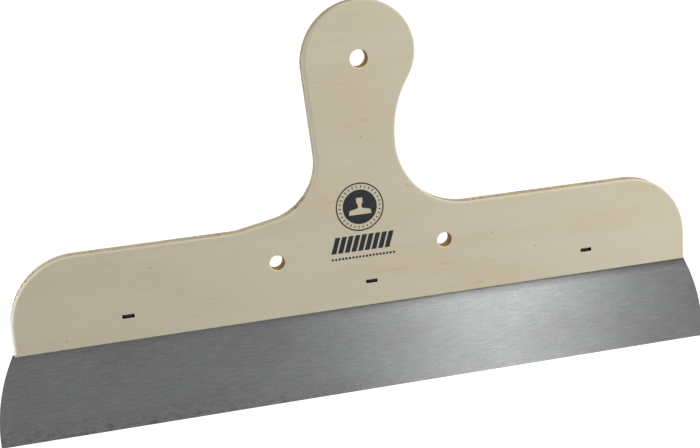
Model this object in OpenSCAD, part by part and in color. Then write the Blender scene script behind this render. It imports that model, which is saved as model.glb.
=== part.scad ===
// Wide filling knife: a spring steel blade held by three staples in a sawn plywood handle board.
// Millimetres. +Z up, +X along the blade, the front face looks along -Y.
// The origin is the centre of the hanging hole, in the middle of the board's thickness.

/* [Blade] */
// Length of the working edge
blade_w = 500; // [480:1:520]
// Height of steel below the board
blade_drop = 62; // [50:1:75]
// Thickness of the sheet
blade_t = 0.7; // [0.5:0.05:1]
// Radius of the curved ends
blade_end_r = 125; // [110:1:160]
// Height of the middle of the end curve above the working edge
blade_end_rise = 3; // [0:0.5:8]
// Height of the tang inside the board
tang_h = 26; // [23:0.5:34]
// Distance from each end of the board to the tang
tang_inset = 1; // [0.5:0.5:3]

/* [Board] */
// Length of the board
board_w = 468; // [440:1:470]
// Height of the shoulder, thumb side
shoulder_h = 62.5; // [56:0.5:70]
// Height of the shoulder, palm side
palm_shoulder_h = 61.5; // [56:0.5:70]
// Radius of the outer corner, thumb side
corner_r = 42.5; // [20:0.5:50]
// Radius of the outer corner, palm side
palm_corner_r = 44; // [20:1:50]
// Thickness of the plywood
board_t = 10; // [9:0.5:12]

/* [Grip] */
// Distance from the middle of the board to the neck on the thumb side
neck_x = 27.3; // [25:0.1:30]
// Radius of the hollow between the shoulder and the neck, thumb side
thumb_r = 48; // [44:1:50]
// Straight stretch of the neck, thumb side
thumb_flat = 2.5; // [0:0.5:4]
// Radius of the hollow between the shoulder and the neck, palm side
palm_r = 38; // [34:1:42]
// Height of the middle of the palm hollow
palm_z = 103.5; // [100:0.5:106]
// Distance from the middle of the board to the start of the palm ramp
ramp_x = 84; // [78:1:110]
// Lean of the palm side of the grip, degrees
grip_lean = 3.8; // [2:0.1:4.5]
// Radius of the head, palm side
head_r = 40.5; // [38:0.5:42]
// Radius of the head, thumb side
lobe_r = 34.4; // [33:0.1:36]
// Place of the head from the middle of the board
head_x = 8.7; // [7:0.1:10]
// Height of the head's middle above the board's lower edge
head_z = 164.6; // [160:0.1:170]
// Direction in which the two head curves meet, degrees
head_join = 77; // [70:1:85]

/* [Holes] */
// Diameter of the hanging hole
hang_d = 12; // [8:0.5:14]
// Place of the hanging hole from the middle of the board
hang_x = 6.3; // [3:0.1:9]
// Height of the hanging hole above the board's lower edge
hang_z = 167; // [160:0.5:172]
// Diameter of the two bracket holes
bracket_d = 10; // [6:0.5:12]
// Distance between the two bracket holes
bracket_gap = 116; // [100:1:130]
// Height of the bracket holes above the board's lower edge
bracket_z = 38; // [36:0.5:44]
// Place of the middle of the two bracket holes from the middle of the board
bracket_x = -0.7; // [-4:0.1:4]

/* [Staples] */
// Distance from the middle of the board to each outer staple
staple_reach = 159.5; // [140:0.5:175]
// Place of the middle staple from the middle of the board
staple_mid_x = 4.5; // [-5:0.5:5]
// Height of the staples above the board's lower edge
staple_z = 16.5; // [14:0.5:18]
// Outer width of the crown
crown_w = 7.2; // [6:0.1:9]
// Width of the flattened wire
wire_w = 1.2; // [0.9:0.1:1.5]
// Thickness of the flattened wire
wire_t = 1; // [0.8:0.1:1.2]
// Depth of the crown below the front face
crown_sink = 1; // [0.6:0.1:1.4]
// Depth of the leg points below the front face
leg_depth = 8.8; // [7.5:0.1:8.9]

/* [Hidden] */
$fn = 96;
ply_count = 7;
ply_t = board_t / ply_count;
past = 1;                                   // how far a cutting shape runs past a face
nip = 0.02;                                 // how deep a curve and the line or curve it touches overlap
// Thumb side: the lower hollow, then the upper hollow that runs into the head
thumb_low_z = shoulder_h + thumb_r;
thumb_high_z = thumb_low_z + thumb_flat;
lobe = [head_x, head_z] + (head_r - lobe_r) * [cos(head_join), sin(head_join)];
lobe_in = neck_x - lobe[0];
lobe_up = lobe[1] - thumb_high_z;
lobe_reach = lobe_r - nip;
// Radius at which the upper hollow touches both the neck and the head
thumb_high_r = (lobe_in ^ 2 + lobe_up ^ 2 - lobe_reach ^ 2) / (2 * (lobe_reach - lobe_in));
thumb_high = [neck_x + thumb_high_r, thumb_high_z];
lobe_touch = lobe + lobe_reach * (thumb_high - lobe) / norm(thumb_high - lobe);
// Palm side: a leaning straight line between the head and the hollow
palm_side = [-cos(grip_lean), -sin(grip_lean)];
palm_up = [-sin(grip_lean), cos(grip_lean)];
head_touch = [head_x, head_z] + (head_r - nip) * palm_side;
palm_drop = (head_touch[1] - palm_z + palm_r * palm_side[1]) / palm_up[1];
palm_touch = head_touch - palm_drop * palm_up;
palm_reach = palm_r - nip;
palm = palm_touch + palm_reach * palm_side;
// The ramp leaves the shoulder and touches the palm hollow from below
ramp_start = [-ramp_x, palm_shoulder_h];
ramp_sight = palm - ramp_start;
ramp_turn = atan2(ramp_sight[1], ramp_sight[0]) - asin(palm_reach / norm(ramp_sight));
ramp_len = sqrt(norm(ramp_sight) ^ 2 - palm_reach ^ 2);
ramp_touch = ramp_start + ramp_len * [cos(ramp_turn), sin(ramp_turn)];
blade_end_z = blade_end_rise - blade_drop;
staple_places = [-staple_reach, staple_mid_x, staple_reach];
slot_w = crown_w + 1.6;                     // punched slot in the tang, round both legs
slot_h = wire_w + 1;
pocket_w = crown_w + 0.8;                   // dent that the crown is driven into
pocket_h = wire_w + 1;
bend_r = 1.6;                               // outer radius of the staple's bends

// Exchanges a shape's Y and Z
module swap_y_and_z() {
    mirror([0, 1, 0])
        rotate([90, 0, 0])
            children();
}

// Stands a shape up that was drawn flat, with X along the blade, Y up from the
// board's lower edge and Z as the depth behind the front face
module upright() {
    translate([-hang_x, -board_t / 2, -hang_z])
        swap_y_and_z()
            children();
}

// One shoulder with a round outer corner, drawn from the middle of the board towards +X
module shoulder_outline(height, corner) {
    straight = board_w / 2 - corner;
    square([straight, height]);
    square([board_w / 2, height - corner]);
    intersection() {
        translate([straight, height - corner])
            circle(r = corner);
        translate([straight, height - corner])
            square(corner + past);
    }
}

// Round head of two arcs that share a tangent at the top
module head_outline() {
    translate(lobe)
        circle(r = lobe_r);
    intersection() {
        translate([head_x, head_z])
            circle(r = head_r);
        translate([head_x, head_z])
            rotate(head_join)
                translate([-head_r, 0])
                    square(2 * head_r);
    }
}

// Grip between the shoulders and the head, before its hollows are cut
module grip_blank() {
    polygon([
        [-ramp_x, 0],
        ramp_start,
        ramp_touch,
        palm_touch,
        head_touch,
        [head_x, head_z],
        lobe_touch,
        [neck_x, thumb_high_z],
        [neck_x, thumb_low_z],
        [neck_x + thumb_r, shoulder_h],
        [neck_x + thumb_r, 0]
    ]);
}

// Round hollows that shape the two sides of the neck
module neck_hollows() {
    translate([neck_x + thumb_r, thumb_low_z, -past])
        cylinder(r = thumb_r, h = board_t + 2 * past);
    intersection() {
        translate([thumb_high[0], thumb_high[1], -past])
            cylinder(r = thumb_high_r, h = board_t + 2 * past);
        translate([neck_x - past, thumb_high_z, -past])
            cube([thumb_high_r, thumb_high_r, board_t + 2 * past]);
    }
    translate([palm[0], palm[1], -past])
        cylinder(r = palm_r, h = board_t + 2 * past);
}

// The three drilled holes, right through the board
module drilled_holes() {
    translate([hang_x, hang_z, -past])
        cylinder(d = hang_d, h = board_t + 2 * past);
    for (side = [-1, 1])
        translate([bracket_x + side * bracket_gap / 2, bracket_z, -past])
            cylinder(d = bracket_d, h = board_t + 2 * past);
}

// Flattened wire bent into a U, legs pointing into the board
module staple_wire() {
    leg_x = crown_w / 2 - wire_t;
    translate([0, -wire_w / 2, crown_sink])
        swap_y_and_z()
            linear_extrude(wire_w)
                union() {
                    for (side = [0, 1])
                        mirror([side, 0]) {
                            translate([leg_x, bend_r])
                                square([wire_t, leg_depth - crown_sink - bend_r]);
                            intersection() {
                                translate([crown_w / 2 - bend_r, bend_r])
                                    difference() {
                                        circle(r = bend_r);
                                        circle(r = bend_r - wire_t);
                                    }
                                translate([crown_w / 2 - bend_r, 0])
                                    square(bend_r);
                            }
                        }
                    translate([bend_r - crown_w / 2, 0])
                        square([crown_w - 2 * bend_r, wire_t]);
                }
}

// Room for one staple: the dent in front of the crown, the crown and the legs
module staple_room() {
    translate([-pocket_w / 2, -pocket_h / 2, -past])
        cube([pocket_w, pocket_h, crown_sink + past]);
    staple_wire();
}

module at_staples(places) {
    for (place = places)
        translate([place, staple_z, 0])
            children();
}

// One sheet of veneer, counted from the front
module ply(number) {
    difference() {
        translate([0, 0, number * ply_t])
            union() {
                linear_extrude(ply_t)
                    shoulder_outline(shoulder_h, corner_r);
                linear_extrude(ply_t)
                    mirror([1, 0])
                        shoulder_outline(palm_shoulder_h, palm_corner_r);
                linear_extrude(ply_t)
                    grip_blank();
                linear_extrude(ply_t)
                    head_outline();
            }
        neck_hollows();
        drilled_holes();
        at_staples(staple_places)
            staple_room();
    }
}

// Sawn slot for the tang, open at the lower edge and at both ends
module kerf() {
    translate([-board_w / 2 - past, -past, (board_t - blade_t) / 2])
        cube([board_w + 2 * past, tang_h + past, blade_t]);
}

module face_veneer_front() {
    color("#c4b89e") upright() ply(0);
}

module crossband_front() {
    color("#b39a72") upright() ply(1);
}

module inner_veneer_front() {
    color("#cdbf9f") upright() ply(2);
}

module core_crossband() {
    color("#ab9068")
        upright()
            difference() {
                ply(3);
                kerf();
            }
}

module inner_veneer_back() {
    color("#cdbf9f") upright() ply(4);
}

module crossband_back() {
    color("#b39a72") upright() ply(5);
}

module face_veneer_back() {
    color("#c4b89e") upright() ply(6);
}

module blade_outline() {
    middle = blade_w / 2 - blade_end_r;
    translate([-middle, -blade_drop])
        square([2 * middle, blade_drop]);
    for (side = [0, 1])
        mirror([side, 0])
            intersection() {
                translate([middle, blade_end_z])
                    circle(r = blade_end_r);
                translate([middle, -blade_drop])
                    square([blade_end_r + past, blade_drop]);
            }
    translate([tang_inset - board_w / 2, -past])
        square([board_w - 2 * tang_inset, tang_h + past]);
}

module blade() {
    color("#8d8f90")
        upright()
            difference() {
                translate([0, 0, (board_t - blade_t) / 2])
                    linear_extrude(blade_t)
                        blade_outline();
                at_staples(staple_places)
                    translate([-slot_w / 2, -slot_h / 2, 0])
                        cube([slot_w, slot_h, board_t]);
            }
}

module staple(number) {
    color("#a3a5a6")
        upright()
            at_staples([staple_places[number]])
                staple_wire();
}

module staple_left() {
    staple(0);
}

module staple_middle() {
    staple(1);
}

module staple_right() {
    staple(2);
}

face_veneer_front();
crossband_front();
inner_veneer_front();
core_crossband();
inner_veneer_back();
crossband_back();
face_veneer_back();
blade();
staple_left();
staple_middle();
staple_right();
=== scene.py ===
"""Wide filling knife: plywood handle board, spring steel blade, three staples and a plain printed mark.

Laid out as a Blender add-on and run as a script. It shares the part's frame: metres, +Z up, +X along the
blade, the front face towards -Y, and the origin in the centre of the hanging hole.
"""

import bmesh
import bpy
import numpy as np
from mathutils import Matrix, Vector, geometry


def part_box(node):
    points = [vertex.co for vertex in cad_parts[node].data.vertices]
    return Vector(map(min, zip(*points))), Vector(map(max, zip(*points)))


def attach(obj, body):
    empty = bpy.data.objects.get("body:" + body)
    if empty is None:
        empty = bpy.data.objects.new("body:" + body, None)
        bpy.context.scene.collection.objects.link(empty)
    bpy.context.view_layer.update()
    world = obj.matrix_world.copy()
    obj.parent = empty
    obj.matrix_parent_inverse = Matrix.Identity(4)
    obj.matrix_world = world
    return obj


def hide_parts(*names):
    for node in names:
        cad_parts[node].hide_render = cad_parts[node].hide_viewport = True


bl_info = {
    "name": "Wide Filling Knife",
    "version": (1, 0, 0),
    "blender": (4, 5, 0),
    "location": "3D View > Sidebar > Filling Knife",
    "description": "Builds the visible surfaces of a wide plywood and spring steel filling knife",
    "category": "Object",
}

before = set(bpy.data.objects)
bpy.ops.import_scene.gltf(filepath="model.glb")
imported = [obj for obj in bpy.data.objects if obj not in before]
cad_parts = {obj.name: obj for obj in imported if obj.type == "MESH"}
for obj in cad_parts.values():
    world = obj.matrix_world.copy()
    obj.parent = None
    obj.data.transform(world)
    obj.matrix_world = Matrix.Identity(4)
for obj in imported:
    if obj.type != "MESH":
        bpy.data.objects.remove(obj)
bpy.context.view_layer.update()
PLIES = (
    "face_veneer_front",
    "crossband_front",
    "inner_veneer_front",
    "core_crossband",
    "inner_veneer_back",
    "crossband_back",
    "face_veneer_back",
)
# The crowns of the staples lie in dents through the first two plies, and their legs end in the sixth
DENTED_PLIES, LEG_PLIES = 2, 6
STAPLES = ("staple_left", "staple_middle", "staple_right")
BOARD_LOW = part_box("face_veneer_front")[0]
BOARD_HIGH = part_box("face_veneer_back")[1]
BOARD_MIDDLE_X = (BOARD_LOW.x + BOARD_HIGH.x) / 2
STEEL_LOW, STEEL_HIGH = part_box("blade")
# Places closer than this, in metres, are the same, and seams closer than the next are sewn together
SAME_PLACE, SEAM = 1e-7, 2e-7
# The board's materials by number: sanded face, veneer edge, drilled wall, and glued wood that is also painted
# shade in the staple dents
FACE, EDGE, DRILLED, GLUE_AND_SHADE = range(4)
WHITE = (1.0, 1.0, 1.0)
SENSOR_WIDTH = 36.0
# Name, place, target, width and height in metres, watts, tint, and whether the steel mirrors it.
# The band is the bright stripe on the blade, the rim light is the cool pale edge of the left end.
LAMPS = (
    ("band", (0.82, -1.97, 0.90), (0.07, 0, -0.2), (0.26, 0.9), 22.0, WHITE, True),
    ("left_rim", (-0.52, 0.04, -0.10), (-0.24, 0, -0.14), (0.15, 0.15), 1.6, (0.68, 0.79, 1.0), False),
    ("right_fill", (1.0, -0.6, 0.3), (0.3, 0, -0.1), (0.6, 0.6), 9.0, WHITE, False),
)


# ---------------------------------------------------------------- sizes and colours


def length(label, description, default, lowest=0.0):
    """A length in metres that the sidebar shows in the scene's own unit."""
    return bpy.props.FloatProperty(
        name=label, description=description, default=default, min=lowest, unit="LENGTH", subtype="DISTANCE"
    )


def offset(label, description, default):
    """A distance in metres that may point either way."""
    return bpy.props.FloatProperty(
        name=label, description=description, default=default, unit="LENGTH", subtype="DISTANCE"
    )


def tilt(label, description, degrees):
    """An angle that the sidebar shows in degrees."""
    return bpy.props.FloatProperty(
        name=label, description=description, default=np.radians(degrees), unit="ROTATION", subtype="ANGLE"
    )


def amount(label, description, default):
    """How many of something there are, at least one."""
    return bpy.props.IntProperty(name=label, description=description, default=default, min=1)


def point(label, description, default):
    """A point in the part's frame."""
    return bpy.props.FloatVectorProperty(
        name=label, description=description, default=default, subtype="XYZ_LENGTH"
    )


def colour(label, description, default):
    """An sRGB hex colour kept as text, so that it reads as it does in any paint tool."""
    return bpy.props.StringProperty(name=label, description=description, default=default)


class BoardSizes(bpy.types.PropertyGroup):
    """Outline and edges of the plywood board, measured from its middle and its lower edge."""

    width: length("Width", "Length of the board along the blade", BOARD_HIGH.x - BOARD_LOW.x)
    shoulder: length("Shoulder", "Height of the shoulder on the thumb side", 0.0625)
    palm_shoulder: length("Palm shoulder", "Height of the shoulder on the palm side", 0.0615)
    corner: length("Corner", "Radius of the outer corner on the thumb side", 0.0425)
    palm_corner: length("Palm corner", "Radius of the outer corner on the palm side", 0.044)
    neck: length("Neck", "From the middle to the neck on the thumb side", 0.0273)
    thumb: length("Thumb hollow", "Radius of the hollow on the thumb side", 0.048)
    thumb_flat: length("Thumb flat", "Straight stretch of the neck above that hollow", 0.0025)
    palm: length("Palm hollow", "Radius of the hollow on the palm side", 0.038)
    palm_height: length("Palm height", "Height of the middle of the palm hollow", 0.1035)
    ramp: length("Ramp", "From the middle to the start of the palm ramp", 0.084)
    lean: tilt("Lean", "Lean of the palm side of the grip", 3.8)
    head: length("Head", "Radius of the head on the palm side", 0.0405)
    lobe: length("Lobe", "Radius of the head on the thumb side", 0.0344)
    head_x: length("Head place", "From the middle to the centre of the head", 0.0087)
    head_height: length("Head height", "Height of the centre of the head", 0.1646)
    head_join: tilt("Head join", "Direction in which the two curves of the head meet", 77.0)
    edge_round: length("Edge round", "Radius of the sanded outer edges", 0.0014)
    palm_round: length("Palm round", "Radius of the edges that face the palm side", 0.0028)
    lower_round: length("Lower round", "Radius of the lower edge, beside the blade", 0.0006)
    lower_run: length("Lower run", "Height over which the ends grow to their full radius", 0.004)
    hole_round: length("Hole round", "Radius of the broken edges of the holes", 0.0006)
    cross_sink: length("Cross sink", "How far sanding leaves the cross veneers below the others", 0.00007)
    step: length("Step", "Spacing of the points along the outline", 0.0011, 0.0002)


class HoleSizes(bpy.types.PropertyGroup):
    """The drilled holes and the dents of the staples."""

    hang: length("Hanging hole", "Diameter of the hanging hole", 0.012)
    bracket: length("Bracket holes", "Diameter of the two bracket holes", 0.010)
    bracket_gap: length("Bracket gap", "Distance between the two bracket holes", 0.116)
    bracket_height: length("Bracket height", "Height of the bracket holes", 0.038)
    bracket_x: offset("Bracket place", "From the board's middle to the middle of the bracket holes", -0.0007)
    dent_width: length("Dent width", "Width of the dent in front of a staple", 0.008)
    dent_height: length("Dent height", "Height of the dent in front of a staple", 0.0025)
    dent_corner: length("Dent corner", "Radius of the dent's corners", 0.0004)
    dent_taper: length("Dent taper", "How far the dent narrows on each side through each veneer", 0.00012)
    leg: length("Leg hole", "Side of the square hole that a leg stands in", 0.0013)
    leg_corner: length("Leg corner", "Radius of that hole's corners", 0.0001)
    leg_inset: length("Leg inset", "From the end of a staple to the middle of its leg", 0.0005)


class BladeSizes(bpy.types.PropertyGroup):
    """The spring steel sheet."""

    end_radius: length("End radius", "Radius of the curved ends", 0.125)
    end_rise: length("End rise", "Height of the middle of the end curve above the working edge", 0.003)
    tang: length("Tang", "Height of the tang inside the board", 0.026)
    tang_inset: length("Tang inset", "From each end of the board to the tang", 0.001)
    slot_width: length("Slot width", "Width of the punched slots round the staples", 0.0088)
    slot_height: length("Slot height", "Height of the punched slots", 0.0022)
    slot_corner: length("Slot corner", "Radius of the corners of those slots", 0.0004)
    edge_round: length("Edge round", "Radius of the ground edges", 0.00018)
    step: length("Step", "Spacing of the points along the curved ends", 0.0015, 0.0002)


class MarkSizes(bpy.types.PropertyGroup):
    """The plain printed mark: a round badge with the tool's picture, a striped band and a row of blocks."""

    badge: length("Badge", "Outer diameter of the badge", 0.033)
    badge_x: offset("Badge place", "From the board's middle to the badge's middle", -0.0002)
    badge_height: length("Badge height", "Height of the badge's middle above the lower edge", 0.0686)
    line: length("Line", "Width of the badge's outer line", 0.0009)
    disc: length("Disc", "Diameter of the badge's filled middle", 0.0235)
    ticks: amount("Ticks", "Number of ticks round the disc", 30)
    tick_width: length("Tick width", "Width of a tick", 0.0007)
    tick_start: length("Tick start", "Clear space between the disc and the ticks", 0.0013)
    tick_end: length("Tick end", "Clear space between the ticks and the line", 0.001)
    band_width: length("Band width", "Length of the striped band", 0.044)
    band_low: length("Band low", "Height of the band's lower edge", 0.0385)
    band_high: length("Band high", "Height of the band's upper edge", 0.0495)
    stripes: amount("Stripes", "Number of stripes in the band", 9)
    stripe_gap: length("Stripe gap", "Clear space between two stripes", 0.0012)
    row_height: length("Row height", "Height of the row of small blocks under the band", 0.0345)
    blocks: amount("Blocks", "Number of blocks in the row", 19)
    block: length("Block", "Side of a block", 0.0015)
    block_corner: length("Block corner", "Radius of a block's corners", 0.0003)
    ink: length("Ink", "Thickness of the ink", 0.00004)


class FinishColours(bpy.types.PropertyGroup):
    """Colours of the finishes, as sRGB hex."""

    face: colour("Face veneer", "Sanded birch face, ground colour", "#c9c1aa")
    face_streak: colour("Face streak", "Darker growth bands of the face", "#c0b89f")
    warm: colour("Warm patch", "Patches of the face near the heartwood", "#c8b79b")
    resin: colour("Resin", "Slanting streaks within the warm patches", "#bba685")
    knot: colour("Knot", "Pin knots and bark flecks", "#8a6a45")
    long_edge: colour("Edge, long grain", "Veneer seen along its grain", "#d3c29e")
    end_edge: colour("Edge, end grain", "Veneer seen on its cut fibres", "#af966c")
    pores: colour("Pores", "Open pores of the cut fibres", "#4a321c")
    drilled: colour("Drilled wall", "Wood warmed by the drill", "#cfa04c")
    scorched: colour("Scorched wall", "Darkest rings in a drilled hole", "#4c3812")
    rim: colour("Hole rim", "Broken edge of a drilled hole", "#ddcba2")
    # Near black: the glue between the veneers, and painted shade on the walls of the staple dents
    glue_and_dent_shade: colour("Glue line", "Resin glue between the veneers", "#1c140d")
    steel: colour("Spring steel", "Brushed steel", "#d8d9d9")
    steel_dark: colour("Steel streaks", "Darker brush marks", "#afb1b1")
    stain: colour("Stain", "Dust and oil on the steel", "#8e8e8c")
    # Painted shadow: the steel under the board is darkened in place of the board's shade
    board_shadow: colour("Board shadow", "Painted shadow in the corner under the board", "#5f615f")
    # Painted shade: the wire gets a dark grey that stands in for the shade of its dent
    wire: colour("Staple wire", "Galvanised wire", "#4c4e50")
    ink: colour("Ink", "Printed mark", "#23262b")
    floor: colour("Floor", "Pale floor", "#f4f3f1")


class StageSettings(bpy.types.PropertyGroup):
    """Camera and floor."""

    camera_at: point("Camera", "Place of the camera", (-0.2455, -0.9510, 0.1476))
    aim_at: point("Aim", "Point the camera looks at", (-0.0140, -0.005, -0.1092))
    roll: tilt("Roll", "Turn of the camera about its line of sight", -4.186)
    lens: bpy.props.FloatProperty(
        name="Lens", description="Focal length on a 36 mm wide sensor", default=78.04, unit="CAMERA"
    )
    floor_drop: length("Floor drop", "From the working edge down to the floor", 0.9)
    floor_side: length("Floor side", "Side of the floor", 24.0)


# ---------------------------------------------------------------- shapes


def arc(centre, radius, start, end, step):
    """Points on a circle: centre + radius * (cos a, sin a), a from start to end in radians."""
    count = int(np.ceil(abs(end - start) * radius / step)) + 2
    a = np.linspace(start, end, count)
    return np.asarray(centre) + radius * np.column_stack((np.cos(a), np.sin(a)))


def straight(a, b, step):
    """Points on a straight line: a + t * (b - a), t from 0 to 1."""
    a, b = np.asarray(a, float), np.asarray(b, float)
    count = int(np.ceil(np.linalg.norm(b - a) / step)) + 1
    return a + np.linspace(0, 1, max(count, 2))[:, None] * (b - a)


def joined(parts):
    """Lays lines end to end as one closed ring, and drops each point that repeats the one before it."""
    ring = np.concatenate(parts)
    gap = np.linalg.norm(ring - np.roll(ring, 1, 0), axis=1)
    return ring[gap > SAME_PLACE]


def direction(vector):
    """Angle of a vector, in radians."""
    return np.arctan2(vector[1], vector[0])


def board_ring(board, tang_top):
    """Counterclockwise outline of the board from its middle and lower edge, in metres.

    Every curve is an arc that shares a tangent with its neighbours: its centre lies on the normal through
    the touching point, one radius away. A point falls on each end at the height of the tang's top.
    """
    half, step = board.width / 2, board.step
    head = np.array([board.head_x, board.head_height])
    join = np.array([np.cos(board.head_join), np.sin(board.head_join)])
    lobe = head + (board.head - board.lobe) * join
    low_z = board.shoulder + board.thumb
    high_z = low_z + board.thumb_flat
    inward, upward = board.neck - lobe[0], lobe[1] - high_z
    high_r = (inward**2 + upward**2 - board.lobe**2) / (2 * (board.lobe - inward))
    low_c, high_c = np.array([board.neck + board.thumb, low_z]), np.array([board.neck + high_r, high_z])
    lobe_start = direction(high_c - lobe)
    side = -np.array([np.cos(board.lean), np.sin(board.lean)])
    rise = np.array([-np.sin(board.lean), np.cos(board.lean)])
    head_touch = head + board.head * side
    drop = (head_touch[1] - board.palm_height + board.palm * side[1]) / rise[1]
    palm_touch = head_touch - drop * rise
    palm = palm_touch + board.palm * side
    start = np.array([-board.ramp, board.palm_shoulder])
    sight = palm - start
    reach = np.linalg.norm(sight)
    turn = direction(sight) - np.arcsin(board.palm / reach)
    corner_right = np.array([half - board.corner, board.shoulder - board.corner])
    corner_left = np.array([board.palm_corner - half, board.palm_shoulder - board.palm_corner])
    split_right = np.arcsin((tang_top - corner_right[1]) / board.corner)
    split_left = np.pi - np.arcsin((tang_top - corner_left[1]) / board.palm_corner)
    ramp_end = start + np.sqrt(reach**2 - board.palm**2) * np.array([np.cos(turn), np.sin(turn)])
    quarter = np.pi / 2
    return joined(
        (
            np.array([(-half, 0), (half, 0)]),
            straight((half, 0), (half, corner_right[1]), step),
            arc(corner_right, board.corner, 0, split_right, step),
            arc(corner_right, board.corner, split_right, quarter, step),
            np.array([(corner_right[0], board.shoulder), (low_c[0], board.shoulder)]),
            arc(low_c, board.thumb, -quarter, -2 * quarter, step),
            straight((board.neck, low_z), (board.neck, high_z), step),
            arc(high_c, high_r, 2 * quarter, direction(lobe - high_c), step),
            arc(lobe, board.lobe, lobe_start, board.head_join, step),
            arc(head, board.head, board.head_join, np.pi + board.lean, step),
            straight(head_touch, palm_touch, step),
            arc(palm, board.palm, board.lean, turn - quarter, step),
            straight(ramp_end, start, step),
            np.array([start, (corner_left[0], board.palm_shoulder)]),
            arc(corner_left, board.palm_corner, quarter, split_left, step),
            arc(corner_left, board.palm_corner, split_left, np.pi, step),
            straight((-half, corner_left[1]), (-half, 0), step),
        )
    )


def mitres(ring):
    """Outward direction at each point of a counterclockwise ring.

    It is the sum of the normals of the two sides that meet there, over one plus their dot product, so
    that a move of d along it moves both sides out by d.
    """
    side = np.roll(ring, -1, 0) - ring
    side = side / np.linalg.norm(side, axis=1, keepdims=True)
    out = np.column_stack((side[:, 1], -side[:, 0]))
    before = np.roll(out, 1, 0)
    return (out + before) / (1 + np.sum(out * before, axis=1, keepdims=True))


def round_inset(depth, thickness, radius):
    """How far a quarter-round edge stands back: r - sqrt(r^2 - (r - d)^2), d deep from the nearer face."""
    d = np.minimum(depth, thickness - depth)
    short = np.clip(radius - d, 0, None)
    return radius - np.sqrt(np.clip(radius**2 - short**2, 0, None))


def circle(centre, radius, count=64, start=0.0):
    """Clockwise ring: centre + radius * (cos a, -sin a), a once round from start in radians."""
    a = start + np.linspace(0, 2 * np.pi, count, endpoint=False)
    return np.asarray(centre) + radius * np.column_stack((np.cos(a), -np.sin(a)))


def rounded_box(centre, width, height, radius, count=6):
    """Clockwise ring of four straight sides joined by quarter circles."""
    a = np.linspace(0, np.pi / 2, count)
    quarter = radius * np.column_stack((np.cos(a), np.sin(a)))
    right, top = width / 2 - radius, height / 2 - radius
    first = quarter + (right, top)
    second = quarter[::-1] * (-1, 1) + (-right, top)
    ring = np.concatenate((first, second, -first, -second))
    return np.asarray(centre) + ring[::-1]


class Shell:
    """Collects the corners and faces of closed sheets until they become one mesh."""

    def __init__(self):
        self.points, self.faces, self.finish, self.smooth = [], [], [], []
        self.count = 0

    def add(self, points, faces, finish, smooth):
        self.points.append(points)
        self.faces += (np.asarray(faces) + self.count).tolist()
        self.finish += [finish] * len(faces)
        self.smooth += [smooth] * len(faces)
        self.count += len(points)

    def wall(self, rings, depths, finish):
        """Grid of rings by depths, closed round: quad (i, j) joins points i, i + 1 of rings j, j + 1."""
        levels, count = rings.shape[:2]
        points = np.empty((levels, count, 3))
        points[..., 0], points[..., 2] = rings[..., 0], rings[..., 1]
        points[..., 1] = np.asarray(depths)[:, None]
        here = np.arange(count)
        beside = (here + 1) % count
        near = np.arange(levels - 1)[:, None] * count
        far = near + count
        quads = np.stack(np.broadcast_arrays(near + here, far + here, far + beside, near + beside), -1)
        self.add(points.reshape(-1, 3), quads.reshape(-1, 4), finish, True)

    def cap(self, rings, depth, front, finish):
        """Flat face between an outer ring and its holes, cut into triangles that look out of the sheet."""
        loops = [[Vector((x, z, 0)) for x, z in ring] for ring in rings]
        flat = np.concatenate(rings)
        triangles = np.array(geometry.tessellate_polygon(loops))
        a, b, c = (flat[triangles[:, k]] for k in range(3))
        turn = (b[:, 0] - a[:, 0]) * (c[:, 1] - a[:, 1]) - (b[:, 1] - a[:, 1]) * (c[:, 0] - a[:, 0])
        # A triangle on one straight line has no side of its own, so it is turned with the rest
        if (turn.sum() > 0) != front:
            triangles = triangles[:, ::-1]
        points = np.column_stack((flat[:, 0], np.full(len(flat), depth), flat[:, 1]))
        self.add(points, triangles, finish, False)

    def sheet(self, outer, holes, depths, finishes):
        """One closed sheet: walls of the outline and of each hole, and the two faces between them.

        The finishes are those of the front face, the rim and the back face. A hole is its rings and its
        finish.
        """
        front, rim, back = finishes
        self.wall(outer, depths, rim)
        for rings, finish in holes:
            self.wall(rings, depths, finish)
        self.cap([outer[0]] + [rings[0] for rings, _ in holes], depths[0], True, front)
        self.cap([outer[-1]] + [rings[-1] for rings, _ in holes], depths[-1], False, back)


def staple_place(node):
    """Centre of a staple from the board's middle and lower edge, and half its width."""
    low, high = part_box(node)
    centre = np.array([(low.x + high.x) / 2 - BOARD_MIDDLE_X, (low.z + high.z) / 2 - BOARD_LOW.z])
    return centre, (high.x - low.x) / 2


def into_frame(points):
    """From the board's middle, front face and lower edge to the part's frame."""
    return points + np.array([BOARD_MIDDLE_X, BOARD_LOW.y, BOARD_LOW.z])


def piece(name, shell, materials):
    """Turns a shell into an object at the origin that rides on the knife's one body."""
    mesh = bpy.data.meshes.new(name)
    mesh.from_pydata(into_frame(np.concatenate(shell.points)).tolist(), [], shell.faces)
    mesh.polygons.foreach_set("material_index", shell.finish)
    mesh.polygons.foreach_set("use_smooth", shell.smooth)
    for material in materials:
        mesh.materials.append(material)
    merge_doubles(mesh)
    mesh.validate()
    thing = bpy.data.objects.new(name, mesh)
    bpy.context.scene.collection.objects.link(thing)
    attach(thing, "root")
    return thing


def merge_doubles(mesh):
    """Sews walls and faces together along the rings that they share."""
    sewn = bmesh.new()
    sewn.from_mesh(mesh)
    bmesh.ops.remove_doubles(sewn, verts=sewn.verts, dist=SEAM)
    sewn.to_mesh(mesh)
    sewn.free()


# ---------------------------------------------------------------- materials


def linear(text):
    """sRGB hex to linear RGBA: c / 12.92 below 0.04045, else ((c + 0.055) / 1.055) ^ 2.4."""
    c = np.array([int(text[i : i + 2], 16) for i in (1, 3, 5)]) / 255
    c = np.where(c <= 0.04045, c / 12.92, ((c + 0.055) / 1.055) ** 2.4)
    return (*c.tolist(), 1.0)


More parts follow.
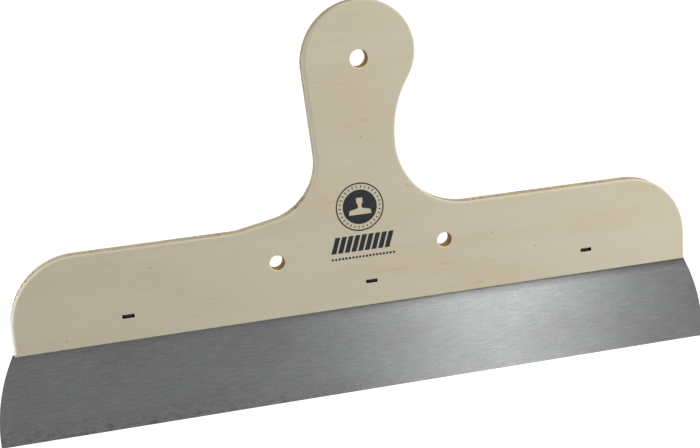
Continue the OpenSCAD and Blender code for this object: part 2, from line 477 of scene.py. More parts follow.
def add(tree, kind, inputs=None, **settings):
    """Adds a node, sets its settings, and fills its inputs, by name or number, from values or sockets.

    A node given in place of a socket stands for its first output.
    """
    node = tree.nodes.new(kind)
    for key, value in settings.items():
        setattr(node, key, value)
    for key, value in (inputs or {}).items():
        if isinstance(value, bpy.types.Node):
            value = value.outputs[0]
        if isinstance(value, bpy.types.NodeSocket):
            tree.links.new(value, node.inputs[key])
        else:
            node.inputs[key].default_value = value
    return node


def blank(name):
    """A new material with an empty node tree, and that tree's object coordinates."""
    material = bpy.data.materials.new(name)
    material.use_nodes = True
    tree = material.node_tree
    tree.nodes.clear()
    return material, tree, add(tree, "ShaderNodeTexCoord")


# The Scale of each Mapping below is in pattern cells per metre: 1900 draws cells of about half a millimetre.
# A Map Range's inputs are, by number, the value, the range it comes from (1, 2) and where it goes (3, 4).
# A Mix node of colours takes its factor as input 0 and its colours as inputs 6 and 7, and gives output 2.


def face_birch(colours):
    """Sanded rotary-cut birch: dry and nearly even, with faint grain, warm patches and a few pin knots."""
    material, tree, coordinates = blank("sanded_birch_face")
    place = coordinates.outputs["Object"]
    # Growth bands 6 mm apart and 250 mm long give the slow drift in tone of a peeled veneer
    spread = add(tree, "ShaderNodeMapping", {"Vector": place, "Scale": (4, 1, 160)})
    bands = add(
        tree, "ShaderNodeTexNoise", {"Vector": spread, "Scale": 1.0, "Detail": 3.0, "Distortion": 0.6}
    )
    banding = add(tree, "ShaderNodeMapRange", {0: bands, 1: 0.35, 2: 0.72, 3: 0.0, 4: 0.35})
    # Fibres 0.5 mm wide and 20 mm long give the fine dry streaks
    spread = add(tree, "ShaderNodeMapping", {"Vector": place, "Scale": (50, 1, 1900)})
    fibres = add(
        tree, "ShaderNodeTexNoise", {"Vector": spread, "Scale": 1.0, "Detail": 4.0, "Roughness": 0.6}
    )
    streaks = add(tree, "ShaderNodeMapRange", {0: fibres, 1: 0.3, 2: 0.75, 3: 0.0, 4: 0.035})
    # Rays 0.8 mm wide and 4 mm long give the short darker dashes
    spread = add(tree, "ShaderNodeMapping", {"Vector": place, "Scale": (260, 1, 1300)})
    rays = add(tree, "ShaderNodeTexNoise", {"Vector": spread, "Scale": 1.0, "Detail": 1.0})
    dashes = add(tree, "ShaderNodeMapRange", {0: rays, 1: 0.60, 2: 0.78, 3: 0.0, 4: 0.06})
    # Warm patches 90 mm long and 25 mm high are where the heartwood begins
    spread = add(tree, "ShaderNodeMapping", {"Vector": place, "Scale": (11, 1, 40), "Rotation": (0, 0.35, 0)})
    patches = add(tree, "ShaderNodeTexNoise", {"Vector": spread, "Scale": 1.0, "Detail": 2.0})
    warming = add(tree, "ShaderNodeMapRange", {0: patches, 1: 0.45, 2: 0.72, 3: 0.0, 4: 0.55})
    # Resin streaks 25 mm long and 3 mm wide slant across the grain, and show only within the warm patches
    spread = add(
        tree, "ShaderNodeMapping", {"Vector": place, "Scale": (40, 1, 330), "Rotation": (0, -0.25, 0)}
    )
    resin = add(
        tree, "ShaderNodeTexNoise", {"Vector": spread, "Scale": 1.0, "Detail": 2.0, "Distortion": 0.8}
    )
    slants = add(tree, "ShaderNodeMapRange", {0: resin, 1: 0.58, 2: 0.72, 3: 0.0, 4: 1.0})
    slants = add(tree, "ShaderNodeMath", {0: slants, 1: warming}, operation="MULTIPLY")
    banded = add(
        tree,
        "ShaderNodeMix",
        {0: banding, 6: linear(colours.face), 7: linear(colours.face_streak)},
        data_type="RGBA",
    )
    warmed = add(
        tree, "ShaderNodeMix", {0: warming, 6: banded.outputs[2], 7: linear(colours.warm)}, data_type="RGBA"
    )
    slanted = add(
        tree, "ShaderNodeMix", {0: slants, 6: warmed.outputs[2], 7: linear(colours.resin)}, data_type="RGBA"
    )
    tone = add(tree, "ShaderNodeMath", {0: streaks, 1: dashes}, operation="ADD")
    tone = add(tree, "ShaderNodeMath", {0: 1.02, 1: tone}, operation="SUBTRACT")
    toned = add(tree, "ShaderNodeHueSaturation", {"Color": slanted.outputs[2], "Value": tone})
    # Pin knots: flat cells 25 mm apart, turned to lie in the face, and a 1 mm knot in one cell in seven
    spread = add(
        tree, "ShaderNodeMapping", {"Vector": place, "Scale": (34, 1, 48), "Rotation": (np.pi / 2, 0, 0)}
    )
    cells = add(tree, "ShaderNodeTexVoronoi", {"Vector": spread, "Scale": 1.0}, voronoi_dimensions="2D")
    chosen = add(tree, "ShaderNodeSeparateColor", {"Color": cells.outputs["Color"]})
    chosen = add(tree, "ShaderNodeMapRange", {0: chosen, 1: 0.84, 2: 0.88, 3: 0.0, 4: 0.8})
    knots = add(
        tree, "ShaderNodeMapRange", {0: cells.outputs["Distance"], 1: 0.012, 2: 0.026, 3: 1.0, 4: 0.0}
    )
    knots = add(tree, "ShaderNodeMath", {0: knots, 1: chosen}, operation="MULTIPLY")
    spotted = add(tree, "ShaderNodeMix", {0: knots, 6: toned, 7: linear(colours.knot)}, data_type="RGBA")
    bump = add(tree, "ShaderNodeBump", {"Height": fibres, "Strength": 0.08, "Distance": 0.0002})
    dryness = add(tree, "ShaderNodeMapRange", {0: fibres, 1: 0.3, 2: 0.7, 3: 0.58, 4: 0.70})
    shader = add(
        tree,
        "ShaderNodeBsdfPrincipled",
        {"Base Color": spotted.outputs[2], "Roughness": dryness, "IOR": 1.5, "Normal": bump},
    )
    add(tree, "ShaderNodeOutputMaterial", {"Surface": shader})
    return material


def edge_birch(name, colours, grain):
    """Sanded veneer edge: pale where the fibres lie along it, brown and porous where they are cut across."""
    material, tree, coordinates = blank(name)
    place = coordinates.outputs["Object"]
    along = add(
        tree, "ShaderNodeVectorMath", {0: coordinates.outputs["Normal"], 1: grain}, operation="DOT_PRODUCT"
    ).outputs["Value"]
    cut = add(tree, "ShaderNodeMath", {0: along}, operation="ABSOLUTE")
    cut = add(tree, "ShaderNodeMapRange", {0: cut, 1: 0.25, 2: 0.85, 3: 0.0, 4: 1.0})
    # Pores 2 mm apart, and as deep as the veneer, give the row of dark dashes; real ones are finer
    spread = add(tree, "ShaderNodeMapping", {"Vector": place, "Scale": (480, 240, 480)})
    pores = add(tree, "ShaderNodeTexNoise", {"Vector": spread, "Scale": 1.0, "Detail": 2.0, "Roughness": 0.6})
    # They are open in stretches of about 30 mm, where the saw tore the fibres
    spread = add(tree, "ShaderNodeMapping", {"Vector": place, "Scale": (32, 32, 32)})
    torn = add(tree, "ShaderNodeTexNoise", {"Vector": spread, "Scale": 1.0, "Detail": 1.0})
    torn = add(tree, "ShaderNodeMapRange", {0: torn, 1: 0.45, 2: 0.56, 3: 0.2, 4: 1.0})
    dark = add(tree, "ShaderNodeMapRange", {0: pores, 1: 0.50, 2: 0.57, 3: 0.0, 4: 1.0})
    dark = add(tree, "ShaderNodeMath", {0: dark, 1: torn}, operation="MULTIPLY")
    dark = add(tree, "ShaderNodeMath", {0: dark, 1: cut}, operation="MULTIPLY")
    # Fibres 0.4 mm wide and 11 mm long give the silky long-grain edge
    spread = add(tree, "ShaderNodeMapping", {"Vector": place, "Scale": (90, 2600, 90)})
    silk = add(tree, "ShaderNodeTexNoise", {"Vector": spread, "Scale": 1.0, "Detail": 3.0})
    silk = add(tree, "ShaderNodeMapRange", {0: silk, 1: 0.3, 2: 0.7, 3: 0.92, 4: 1.04})
    # Patches 9 mm long give the uneven sanding of the rim
    spread = add(tree, "ShaderNodeMapping", {"Vector": place, "Scale": (110, 110, 110)})
    sanding = add(tree, "ShaderNodeTexNoise", {"Vector": spread, "Scale": 1.0, "Detail": 2.0})
    sanding = add(tree, "ShaderNodeMapRange", {0: sanding, 1: 0.3, 2: 0.7, 3: 0.88, 4: 1.06})
    body = add(
        tree,
        "ShaderNodeMix",
        {0: cut, 6: linear(colours.long_edge), 7: linear(colours.end_edge)},
        data_type="RGBA",
    )
    porous = add(
        tree, "ShaderNodeMix", {0: dark, 6: body.outputs[2], 7: linear(colours.pores)}, data_type="RGBA"
    )
    value = add(tree, "ShaderNodeMath", {0: silk, 1: sanding}, operation="MULTIPLY")
    toned = add(tree, "ShaderNodeHueSaturation", {"Color": porous.outputs[2], "Value": value})
    bump = add(tree, "ShaderNodeBump", {"Height": pores, "Strength": 0.25, "Distance": 0.0002})
    shader = add(
        tree, "ShaderNodeBsdfPrincipled", {"Base Color": toned, "Roughness": 0.7, "IOR": 1.5, "Normal": bump}
    )
    add(tree, "ShaderNodeOutputMaterial", {"Surface": shader})
    return material


def drilled_birch(colours):
    """Wall of a drilled hole: rubbed olive brown by the drill, with darker rings and a pale broken rim."""
    material, tree, coordinates = blank("drilled_birch")
    place = coordinates.outputs["Object"]
    # Rings 0.7 mm apart through the board are the drill's feed marks and the glue lines
    spread = add(tree, "ShaderNodeMapping", {"Vector": place, "Scale": (60, 1400, 60)})
    rings = add(tree, "ShaderNodeTexNoise", {"Vector": spread, "Scale": 1.0, "Detail": 3.0, "Roughness": 0.6})
    rings = add(tree, "ShaderNodeMapRange", {0: rings, 1: 0.42, 2: 0.58, 3: 0.0, 4: 0.6})
    # Torn pores 1.4 mm across
    spread = add(tree, "ShaderNodeMapping", {"Vector": place, "Scale": (700, 700, 700)})
    pores = add(tree, "ShaderNodeTexNoise", {"Vector": spread, "Scale": 1.0, "Detail": 3.0})
    torn = add(tree, "ShaderNodeMapRange", {0: pores, 1: 0.48, 2: 0.62, 3: 0.0, 4: 0.6})
    dark = add(tree, "ShaderNodeMath", {0: rings, 1: torn}, operation="ADD", use_clamp=True)
    body = add(
        tree,
        "ShaderNodeMix",
        {0: dark, 6: linear(colours.drilled), 7: linear(colours.scorched)},
        data_type="RGBA",
    )
    # The outer 0.7 mm at both faces was broken with sandpaper after drilling, and fades out over 0.4 mm
    depth = add(tree, "ShaderNodeSeparateXYZ", {"Vector": place}).outputs["Y"]
    depth = add(tree, "ShaderNodeMath", {0: depth}, operation="ABSOLUTE")
    inner, outer = BOARD_HIGH.y - 0.0009, BOARD_HIGH.y - 0.0005
    rim = add(tree, "ShaderNodeMapRange", {0: depth, 1: inner, 2: outer, 3: 0.0, 4: 1.0})
    rimmed = add(
        tree, "ShaderNodeMix", {0: rim, 6: body.outputs[2], 7: linear(colours.rim)}, data_type="RGBA"
    )
    bump = add(tree, "ShaderNodeBump", {"Height": pores, "Strength": 0.4, "Distance": 0.0003})
    shader = add(
        tree,
        "ShaderNodeBsdfPrincipled",
        {"Base Color": rimmed.outputs[2], "Roughness": 0.6, "IOR": 1.5, "Normal": bump},
    )
    add(tree, "ShaderNodeOutputMaterial", {"Surface": shader})
    return material


def glue_and_shade_birch(colours):
    """Birch soaked with dark resin glue between the veneers, and painted shade on the crushed walls of the
    staple dents: nearly black brown, dull and ragged.
    """
    material, tree, coordinates = blank("glue_and_shade_birch")
    # Crushed fibres 0.7 mm across
    spread = add(
        tree, "ShaderNodeMapping", {"Vector": coordinates.outputs["Object"], "Scale": (1400, 1400, 1400)}
    )
    crushed = add(tree, "ShaderNodeTexNoise", {"Vector": spread, "Scale": 1.0, "Detail": 3.0})
    paler = add(tree, "ShaderNodeMapRange", {0: crushed, 1: 0.5, 2: 0.75, 3: 0.0, 4: 0.5})
    body = add(
        tree,
        "ShaderNodeMix",
        {0: paler, 6: linear(colours.glue_and_dent_shade), 7: linear(colours.scorched)},
        data_type="RGBA",
    )
    bump = add(tree, "ShaderNodeBump", {"Height": crushed, "Strength": 0.5, "Distance": 0.0003})
    shader = add(
        tree,
        "ShaderNodeBsdfPrincipled",
        {"Base Color": body.outputs[2], "Roughness": 0.85, "IOR": 1.5, "Normal": bump},
    )
    add(tree, "ShaderNodeOutputMaterial", {"Surface": shader})
    return material


def brushed_steel(colours):
    """Cold rolled spring steel, brushed along its length: highlights spread across the brush marks."""
    material, tree, coordinates = blank("brushed_spring_steel")
    place = coordinates.outputs["Object"]
    x, _, z = add(tree, "ShaderNodeSeparateXYZ", {"Vector": place}).outputs
    # Brush marks 0.7 mm apart and 12 mm long, drawn coarser than real ones so that they still show
    spread = add(tree, "ShaderNodeMapping", {"Vector": place, "Scale": (85, 1, 1400)})
    marks = add(tree, "ShaderNodeTexNoise", {"Vector": spread, "Scale": 1.0, "Detail": 5.0, "Roughness": 0.7})
    # Broader marks 3 mm apart and 120 mm long are the passes of the belt
    spread = add(tree, "ShaderNodeMapping", {"Vector": place, "Scale": (8, 1, 330)})
    passes = add(
        tree, "ShaderNodeTexNoise", {"Vector": spread, "Scale": 1.0, "Detail": 3.0, "Roughness": 0.6}
    )
    # Mill speckle 0.9 mm across, the fine sparkle of rolled strip, also drawn coarser than real
    spread = add(tree, "ShaderNodeMapping", {"Vector": place, "Scale": (900, 1, 1500)})
    speckle = add(
        tree, "ShaderNodeTexNoise", {"Vector": spread, "Scale": 1.0, "Detail": 3.0, "Roughness": 0.6}
    )
    marking = add(tree, "ShaderNodeMapRange", {0: marks, 1: 0.36, 2: 0.64, 3: 0.0, 4: 0.70})
    passing = add(tree, "ShaderNodeMapRange", {0: passes, 1: 0.30, 2: 0.70, 3: 0.0, 4: 0.10})
    specking = add(tree, "ShaderNodeMapRange", {0: speckle, 1: 0.36, 2: 0.64, 3: 0.0, 4: 0.75})
    tone = add(tree, "ShaderNodeMath", {0: marking, 1: passing}, operation="ADD")
    tone = add(tree, "ShaderNodeMath", {0: tone, 1: specking}, operation="ADD", use_clamp=True)
    streaked = add(
        tree,
        "ShaderNodeMix",
        {0: tone, 6: linear(colours.steel), 7: linear(colours.steel_dark)},
        data_type="RGBA",
    )
    # Dust rubbed into the lowest 16 mm, along the working edge on the palm side, in flecks 6 mm long
    spread = add(tree, "ShaderNodeMapping", {"Vector": place, "Scale": (170, 1, 300)})
    dust = add(tree, "ShaderNodeTexNoise", {"Vector": spread, "Scale": 1.0, "Detail": 4.0, "Roughness": 0.65})
    dust = add(tree, "ShaderNodeMapRange", {0: dust, 1: 0.48, 2: 0.66, 3: 0.0, 4: 0.9})
    dust_top = STEEL_LOW.z + 0.016
    low = add(tree, "ShaderNodeMapRange", {0: z, 1: STEEL_LOW.z, 2: dust_top, 3: 1.0, 4: 0.0})
    palm = add(tree, "ShaderNodeMapRange", {0: x, 1: -0.12, 2: 0.06, 3: 1.0, 4: 0.0})
    rubbed = add(tree, "ShaderNodeMath", {0: low, 1: palm}, operation="MULTIPLY")
    rubbed = add(tree, "ShaderNodeMath", {0: rubbed, 1: dust}, operation="MULTIPLY")
    # Faint clouds 50 mm across are oil wiped along the sheet
    spread = add(tree, "ShaderNodeMapping", {"Vector": place, "Scale": (18, 1, 36)})
    clouds = add(tree, "ShaderNodeTexNoise", {"Vector": spread, "Scale": 1.0, "Detail": 2.0})
    clouds = add(tree, "ShaderNodeMapRange", {0: clouds, 1: 0.48, 2: 0.75, 3: 0.0, 4: 0.22})
    # Painted shadow of the board: the steel darkens over the 8 mm under the board, most on the thumb side
    shadow_foot = BOARD_LOW.z - 0.008
    corner = add(tree, "ShaderNodeMapRange", {0: z, 1: shadow_foot, 2: BOARD_LOW.z, 3: 0.0, 4: 0.8})
    thumb = add(tree, "ShaderNodeMapRange", {0: x, 1: -0.10, 2: 0.12, 3: 0.35, 4: 1.0})
    board_shadow = add(tree, "ShaderNodeMath", {0: corner, 1: thumb}, operation="MULTIPLY")
    oiled = add(tree, "ShaderNodeMath", {0: rubbed, 1: clouds}, operation="ADD", use_clamp=True)
    stained = add(
        tree, "ShaderNodeMix", {0: oiled, 6: streaked.outputs[2], 7: linear(colours.stain)}, data_type="RGBA"
    )
    shadowed = add(
        tree, "ShaderNodeMix", {0: board_shadow, 6: stained.outputs[2], 7: linear(colours.board_shadow)}, data_type="RGBA"
    )
    height = add(tree, "ShaderNodeMath", {0: marks, 1: speckle}, operation="ADD")
    bump = add(tree, "ShaderNodeBump", {"Height": height, "Strength": 0.10, "Distance": 0.00005})
    roughness = add(tree, "ShaderNodeMapRange", {0: speckle, 1: 0.3, 2: 0.7, 3: 0.27, 4: 0.31})
    shader = add(
        tree,
        "ShaderNodeBsdfPrincipled",
        {
            "Base Color": shadowed.outputs[2],
            "Metallic": 1.0,
            "Roughness": roughness,
            "Anisotropic": 0.95,
            "Tangent": add(tree, "ShaderNodeTangent", direction_type="UV_MAP", uv_map="brushing"),
            "Normal": bump,
        },
    )
    add(tree, "ShaderNodeOutputMaterial", {"Surface": shader})
    return material


def shaded_staple_wire(colours):
    """Galvanised wire, painted dark grey as shade in the dents: a dull metal with a crystalline mottle."""
    material, tree, coordinates = blank("shaded_galvanised_wire")
    # Zinc crystals 0.7 mm across
    spread = add(
        tree, "ShaderNodeMapping", {"Vector": coordinates.outputs["Object"], "Scale": (1500, 1500, 1500)}
    )
    mottle = add(tree, "ShaderNodeTexNoise", {"Vector": spread, "Scale": 1.0, "Detail": 2.0})
    roughness = add(tree, "ShaderNodeMapRange", {0: mottle, 1: 0.3, 2: 0.7, 3: 0.35, 4: 0.55})
    bump = add(tree, "ShaderNodeBump", {"Height": mottle, "Strength": 0.2, "Distance": 0.0001})
    shader = add(
        tree,
        "ShaderNodeBsdfPrincipled",
        {"Base Color": linear(colours.wire), "Metallic": 1.0, "Roughness": roughness, "Normal": bump},
    )
    add(tree, "ShaderNodeOutputMaterial", {"Surface": shader})
    return material


def printed_ink(colours):
    """Screen printing ink on bare wood: nearly black, dull, thinned where the grain stands open."""
    material, tree, coordinates = blank("printed_ink")
    # Open grain 0.4 mm wide and 5 mm long
    spread = add(
        tree, "ShaderNodeMapping", {"Vector": coordinates.outputs["Object"], "Scale": (200, 1, 2400)}
    )
    grain = add(tree, "ShaderNodeTexNoise", {"Vector": spread, "Scale": 1.0, "Detail": 3.0, "Roughness": 0.6})
    thin = add(tree, "ShaderNodeMapRange", {0: grain, 1: 0.60, 2: 0.80, 3: 0.0, 4: 0.25})
    body = add(
        tree,
        "ShaderNodeMix",
        {0: thin, 6: linear(colours.ink), 7: linear(colours.face_streak)},
        data_type="RGBA",
    )
    shader = add(
        tree, "ShaderNodeBsdfPrincipled", {"Base Color": body.outputs[2], "Roughness": 0.65, "IOR": 1.5}
    )
    add(tree, "ShaderNodeOutputMaterial", {"Surface": shader})
    return material


def floor_paper(colours):
    """White paper sweep, lit from below as well, so that it reads as an even pale floor."""
    material, tree, _ = blank("pale_floor")
    shader = add(
        tree,
        "ShaderNodeBsdfPrincipled",
        {
            "Base Color": linear(colours.floor),
            "Roughness": 0.9,
            "Emission Color": (*WHITE, 1.0),
            "Emission Strength": 0.55,
        },
    )
    add(tree, "ShaderNodeOutputMaterial", {"Surface": shader})
    return material


# ---------------------------------------------------------------- operators


class KNIFE_OT_board(bpy.types.Operator):
    """Build the seven veneers of the board, with sanded edges, drilled holes and staple dents"""

    bl_idname = "knife.board"
    bl_label = "Build board"

    def execute(self, context):
        board, cuts = context.scene.knife_board, context.scene.knife_holes
        colours, blade = context.scene.knife_colours, context.scene.knife_blade
        ring = board_ring(board, blade.tang)
        out = mitres(ring)
        thickness = BOARD_HIGH.y - BOARD_LOW.y
        # The round is widest where the edge faces the palm side. The lower edge is barely broken, and the
        # round grows smoothly to its full radius up each end.
        full = board.edge_round + (board.palm_round - board.edge_round) * np.clip(-out[:, 0], 0, 1)
        grow = np.clip(ring[:, 1] / board.lower_run, 0, 1)
        radius = board.lower_round + (full - board.lower_round) * grow * grow * (3 - 2 * grow)
        face = face_birch(colours)
        along = edge_birch("birch_edge_along", colours, (1.0, 0.0, 0.0))
        across = edge_birch("birch_edge_across", colours, (0.0, 0.0, 1.0))
        bore, glue_and_shade = drilled_birch(colours), glue_and_shade_birch(colours)
        for number, node in enumerate(PLIES):
            low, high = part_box(node)
            first, last = low.y - BOARD_LOW.y, high.y - BOARD_LOW.y
            depths = self.levels(first, last, thickness, board.palm_round)
            crossed = number % 2 == 1
            sink = board.cross_sink if crossed else 0.0
            inset = round_inset(depths[:, None], thickness, radius[None, :]) + sink
            outer = ring[None] - inset[..., None] * out[None]
            holes = self.holes(depths, thickness, cuts, board.hole_round, number)
            # The two outer veneers are sanded face all round, and every hidden face is glued
            outside = node.startswith("face")
            front = FACE if number == 0 else GLUE_AND_SHADE
            back = FACE if number == len(PLIES) - 1 else GLUE_AND_SHADE
            finishes = (front, FACE if outside else EDGE, back)
            shell = Shell()
            if node == "core_crossband":
                self.sawn_core(shell, ring, outer, holes, depths, blade.tang, finishes)
            else:
                shell.sheet(outer, holes, depths, finishes)
            rim = across if crossed else along
            made = piece("board_" + node, shell, (face, rim, bore, glue_and_shade))
            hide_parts(node)
        return {"FINISHED"}

    @staticmethod
    def levels(first, last, thickness, radius):
        """Depths of one veneer: its two faces, and equal angles round the rounded edge between them.

        Two more near each face serve the smaller rounds of the holes and the lower edge.
        """
        angle = np.linspace(0, np.pi / 2, 10)
        near = np.append(radius * (1 - np.cos(angle)), (0.0002, 0.0005))
        every = np.append(near, thickness - near)
        apart = 0.00002
        inside = every[(every > first + apart) & (every < last - apart)]
        return np.unique(np.append(inside, (first, last)))

    @staticmethod
    def holes(depths, thickness, cuts, hole_round, number):
        """Rings of every hole at every depth of one veneer, each with its finish."""
        wider = round_inset(depths, thickness, hole_round)
        hang = (-BOARD_MIDDLE_X, -BOARD_LOW.z)
        left = (cuts.bracket_x - cuts.bracket_gap / 2, cuts.bracket_height)
        right = (cuts.bracket_x + cuts.bracket_gap / 2, cuts.bracket_height)
        # Each circle starts a little further round, so that the two bracket holes share no height
        drilled = ((0.0, hang, cuts.hang), (0.01, left, cuts.bracket), (0.03, right, cuts.bracket))
        made = []
        for start, place, size in drilled:
            rings = [circle(place, size / 2 + more, start=start) for more in wider]
            made.append((np.stack(rings), DRILLED))
        for node in STAPLES:
            centre, half = staple_place(node)
            if number < DENTED_PLIES:
                shrink = 2 * cuts.dent_taper * np.clip(depths / depths.max(), 0, 1)
                sizes = [(cuts.dent_width - less, cuts.dent_height - less) for less in shrink]
                dent = np.stack([rounded_box(centre, *size, cuts.dent_corner) for size in sizes])
                # The dent walls take the near-black glued finish as painted shade in the recess
                made.append((dent, GLUE_AND_SHADE))
            elif number < LEG_PLIES:
                for reach in (cuts.leg_inset - half, half - cuts.leg_inset):
                    leg = rounded_box(centre + (reach, 0), cuts.leg, cuts.leg, cuts.leg_corner)
                    made.append((np.stack([leg] * len(depths)), GLUE_AND_SHADE))
        return made

    @staticmethod
    def sawn_core(shell, ring, outer, holes, depths, tang, finishes):
        """The middle veneer: whole above the tang, and two thin skins beside the saw cut below it."""
        count = len(ring)
        right, left = np.flatnonzero(np.abs(ring[:, 1] - tang) < SAME_PLACE)
        upper = outer[:, right : left + 1]
        lower = outer[:, np.r_[left:count, 0 : right + 1]]
        above = [(rings, finish) for rings, finish in holes if rings[0, :, 1].min() > tang]
        below = [(rings[[0, -1]], finish) for rings, finish in holes if rings[0, :, 1].max() < tang]
        shell.sheet(upper, above, depths, finishes)
        front, back = STEEL_LOW.y - BOARD_LOW.y, STEEL_HIGH.y - BOARD_LOW.y
        for pair in ((depths[0], front), (back, depths[-1])):
            shell.sheet(lower[[0, -1]], below, np.array(pair), finishes)


class KNIFE_OT_blade(bpy.types.Operator):
    """Build the spring steel sheet with its ground edges and punched slots"""

    bl_idname = "knife.blade"
    bl_label = "Build blade"

    def execute(self, context):
        blade, board = context.scene.knife_blade, context.scene.knife_board
        half = (STEEL_HIGH.x - STEEL_LOW.x) / 2
        # The box of the sheet is that of its working edge, whose corners lie just inside the end curves
        drop = BOARD_LOW.z - STEEL_LOW.z
        centre = np.array([half - blade.end_radius, blade.end_rise - drop])
        start = -np.arcsin(blade.end_rise / blade.end_radius)
        top = np.arcsin(-centre[1] / blade.end_radius)
        right = arc(centre, blade.end_radius, start, top, blade.step)
        left = right[::-1] * (-1, 1)
        tang = board.width / 2 - blade.tang_inset
        ring = joined(
            (
                np.array([left[-1], right[0]]),
                right,
                np.array([(tang, 0.0), (tang, blade.tang), (-tang, blade.tang), (-tang, 0.0)]),
                left,
            )
        )
        out = mitres(ring)
        first, last = STEEL_LOW.y - BOARD_LOW.y, STEEL_HIGH.y - BOARD_LOW.y
        thickness = last - first
        bend = blade.edge_round * (1 - np.cos(np.linspace(0, np.pi / 2, 5)))
        local = np.unique(np.concatenate((bend, thickness - bend)))
        inset = round_inset(local, thickness, blade.edge_round)
        outer = ring[None] - inset[:, None, None] * out[None]
        slots = []
        for node in STAPLES:
            slot = rounded_box(staple_place(node)[0], blade.slot_width, blade.slot_height, blade.slot_corner)
            slots.append((np.stack([slot] * len(local)), 0))
        shell = Shell()
        shell.sheet(outer, slots, local + first, (0, 0, 0))
        made = piece("steel_blade", shell, (brushed_steel(context.scene.knife_colours),))
        self.brushing(made.data)
        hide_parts("blade")
        return {"FINISHED"}

    @staticmethod
    def brushing(mesh):
        """UV map whose u runs across the brush marks, as highlights spread that way: u is Z and v is X."""
        corners = np.empty(len(mesh.loops), np.int32)
        mesh.loops.foreach_get("vertex_index", corners)
        points = np.empty(len(mesh.vertices) * 3)
        mesh.vertices.foreach_get("co", points)
        layer = mesh.uv_layers.new(name="brushing")
        layer.data.foreach_set("uv", points.reshape(-1, 3)[corners][:, [2, 0]].ravel())


class KNIFE_OT_staples(bpy.types.Operator):
    """Give the three staples their wire finish, painted dark as shade"""

    bl_idname = "knife.staples"
    bl_label = "Finish staples"

    def execute(self, context):
        wire = shaded_staple_wire(context.scene.knife_colours)
        for name in STAPLES:
            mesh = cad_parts[name].data
            mesh.materials.clear()
            mesh.materials.append(wire)
        return {"FINISHED"}


class KNIFE_OT_mark(bpy.types.Operator):
    """Print the plain mark: a badge with ticks and the tool's picture, a striped band and a row of blocks"""

    bl_idname = "knife.mark"
    bl_label = "Print mark"

    def execute(self, context):
        mark = context.scene.knife_mark
        shell = Shell()
        self.badge(shell, mark)
        # Stripes that lean by a third of their height, side by side
        lean = (mark.band_high - mark.band_low) / 3
        wide = (mark.band_width - lean - mark.stripe_gap * (mark.stripes - 1)) / mark.stripes
        foot, head = (0, mark.band_low), (lean, mark.band_high)
        stripe = np.array([foot, foot, head, head]) + [(0, 0), (wide, 0), (wide, 0), (0, 0)]
        for number in range(mark.stripes):
            self.ink(shell, mark, stripe + (number * (wide + mark.stripe_gap) - mark.band_width / 2, 0))
        reach = (mark.band_width - mark.block) / 2
        for x in np.linspace(-reach, reach, mark.blocks):
            block = rounded_box((x, mark.row_height), mark.block, mark.block, mark.block_corner)
            self.ink(shell, mark, block[::-1])
        piece("printed_mark", shell, (printed_ink(context.scene.knife_colours),))
        return {"FINISHED"}

    @staticmethod
    def ink(shell, mark, outer, *holes):
        """One flat patch of ink, from a counterclockwise outline and clockwise holes."""
        doubled = [(np.stack((hole, hole)), 0) for hole in holes]
        shell.sheet(np.stack((outer, outer)), doubled, np.array([-mark.ink, 0.0]), (0, 0, 0))

    def badge(self, shell, mark):
        """A thin ring, ticks like spokes inside it, and a filled disc with the tool left bare in it."""
        centre = np.array([mark.badge_x, mark.badge_height])
        outside, inside = mark.badge / 2, mark.badge / 2 - mark.line
        self.ink(shell, mark, circle(centre, outside, count=96)[::-1], circle(centre, inside, count=96))
        near, far, side = mark.disc / 2 + mark.tick_start, inside - mark.tick_end, mark.tick_width / 2
        tick = np.array([(near, -side), (far, -side), (far, side), (near, side)])
        for angle in np.linspace(0, 2 * np.pi, mark.ticks, endpoint=False):
            turn = np.array([(np.cos(angle), np.sin(angle)), (-np.sin(angle), np.cos(angle))])
            self.ink(shell, mark, centre + tick @ turn)
        # The tool stands on a wide foot, narrows to a neck and ends in a grip: one side, and its mirror image
        foot, neck, grip, base, top = 0.0072, 0.0013, 0.0022, -0.0052, 0.0062
        right = np.array(
            [
                (foot + 0.0006, base),
                (foot, base + 0.0030),
                (neck, base + 0.0044),
                (neck, top - 0.0044),
                (grip, top - 0.0032),
                (grip, top),
            ]
        )
        tool = np.concatenate((right, right[::-1] * (-1, 1)))
        self.ink(shell, mark, circle(centre, mark.disc / 2, count=72)[::-1], (centre + tool)[::-1])


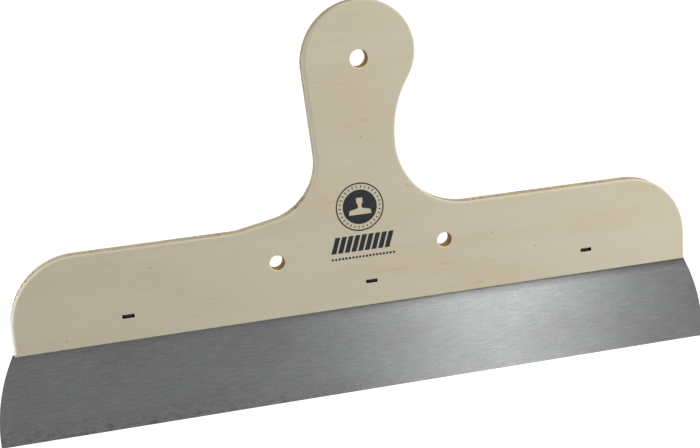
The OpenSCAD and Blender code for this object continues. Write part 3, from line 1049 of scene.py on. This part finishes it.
class KNIFE_OT_stage(bpy.types.Operator):
    """Set the pale floor, the soft lights and the camera"""

    bl_idname = "knife.stage"
    bl_label = "Set stage"

    def execute(self, context):
        scene, stage = context.scene, context.scene.knife_stage
        side, level = stage.floor_side / 2, STEEL_LOW.z - stage.floor_drop
        mesh = bpy.data.meshes.new("floor")
        turns = ((-1, -1), (1, -1), (1, 1), (-1, 1))
        mesh.from_pydata([(x * side, y * side, level) for x, y in turns], [], [(0, 1, 2, 3)])
        mesh.materials.append(floor_paper(scene.knife_colours))
        floor = bpy.data.objects.new("floor", mesh)
        scene.collection.objects.link(floor)
        floor.visible_glossy = floor.visible_diffuse = False
        for lamp in LAMPS:
            self.light(*lamp)
        self.sky(scene)
        scene.view_settings.view_transform = "Standard"
        camera = bpy.data.objects.new("camera", bpy.data.cameras.new("camera"))
        scene.collection.objects.link(camera)
        camera.data.sensor_width = SENSOR_WIDTH
        camera.data.lens = stage.lens
        camera.matrix_world = self.aimed(stage.camera_at, stage.aim_at) @ Matrix.Rotation(stage.roll, 4, "Z")
        scene.camera = camera
        return {"FINISHED"}

    @staticmethod
    def aimed(place, target):
        """Matrix of something at place that looks at target with its top upwards."""
        look = (Vector(target) - Vector(place)).to_track_quat("-Z", "Y")
        return Matrix.Translation(Vector(place)) @ look.to_matrix().to_4x4()

    def light(self, name, place, target, size, watts, tint, mirrored):
        """A flat soft box of that size in metres that faces the target."""
        lamp = bpy.data.lights.new(name, "AREA")
        lamp.shape, lamp.size, lamp.size_y = "RECTANGLE", *size
        lamp.energy, lamp.color = watts, tint
        thing = bpy.data.objects.new(name, lamp)
        bpy.context.scene.collection.objects.link(thing)
        thing.matrix_world = self.aimed(place, target)
        thing.visible_camera = False
        thing.visible_glossy = mirrored

    @staticmethod
    def sky(scene):
        """White surroundings, bright behind the knife and dim behind the camera, as in a studio."""
        world = bpy.data.worlds.new("white_studio")
        scene.world = world
        world.use_nodes = True
        tree = world.node_tree
        tree.nodes.clear()
        way = add(tree, "ShaderNodeTexCoord").outputs["Generated"]
        depth = add(tree, "ShaderNodeSeparateXYZ", {"Vector": way}).outputs["Y"]
        around = add(tree, "ShaderNodeMapRange", {0: depth, 1: -0.3, 2: 0.3, 3: 0.29, 4: 1.0})
        seen = add(tree, "ShaderNodeLightPath").outputs["Is Camera Ray"]
        strength = add(tree, "ShaderNodeMath", {0: around, 1: seen}, operation="MAXIMUM")
        light = add(tree, "ShaderNodeBackground", {"Color": (*WHITE, 1.0), "Strength": strength})
        add(tree, "ShaderNodeOutputWorld", {"Surface": light})


class KNIFE_PT_panel(bpy.types.Panel):
    """Sidebar panel with the knife's sizes, colours and building steps"""

    bl_idname = "KNIFE_PT_panel"
    bl_label = "Wide Filling Knife"
    bl_space_type = "VIEW_3D"
    bl_region_type = "UI"
    bl_category = "Filling Knife"

    def draw(self, context):
        for group, kind, title in GROUPS:
            box = self.layout.box()
            box.label(text=title)
            settings = getattr(context.scene, group)
            for name in kind.__annotations__:
                box.prop(settings, name)
        for operator in OPERATORS:
            self.layout.operator(operator.bl_idname)


GROUPS = (
    ("knife_board", BoardSizes, "Board"),
    ("knife_holes", HoleSizes, "Holes"),
    ("knife_blade", BladeSizes, "Blade"),
    ("knife_mark", MarkSizes, "Mark"),
    ("knife_colours", FinishColours, "Colours"),
    ("knife_stage", StageSettings, "Stage"),
)
OPERATORS = (KNIFE_OT_board, KNIFE_OT_blade, KNIFE_OT_staples, KNIFE_OT_mark, KNIFE_OT_stage)


def register():
    for name, group, _ in GROUPS:
        bpy.utils.register_class(group)
        setattr(bpy.types.Scene, name, bpy.props.PointerProperty(type=group))
    for item in (*OPERATORS, KNIFE_PT_panel):
        bpy.utils.register_class(item)


def unregister():
    for item in (KNIFE_PT_panel, *reversed(OPERATORS)):
        bpy.utils.unregister_class(item)
    for name, group, _ in reversed(GROUPS):
        delattr(bpy.types.Scene, name)
        bpy.utils.unregister_class(group)


def corners(box):
    """A box as plain lists of numbers."""
    return [[float(v) for v in corner] for corner in box]


def main():
    register()
    bpy.ops.knife.board()
    bpy.ops.knife.blade()
    bpy.ops.knife.staples()
    bpy.ops.knife.mark()
    bpy.ops.knife.stage()


if __name__ == "__main__":
    main()
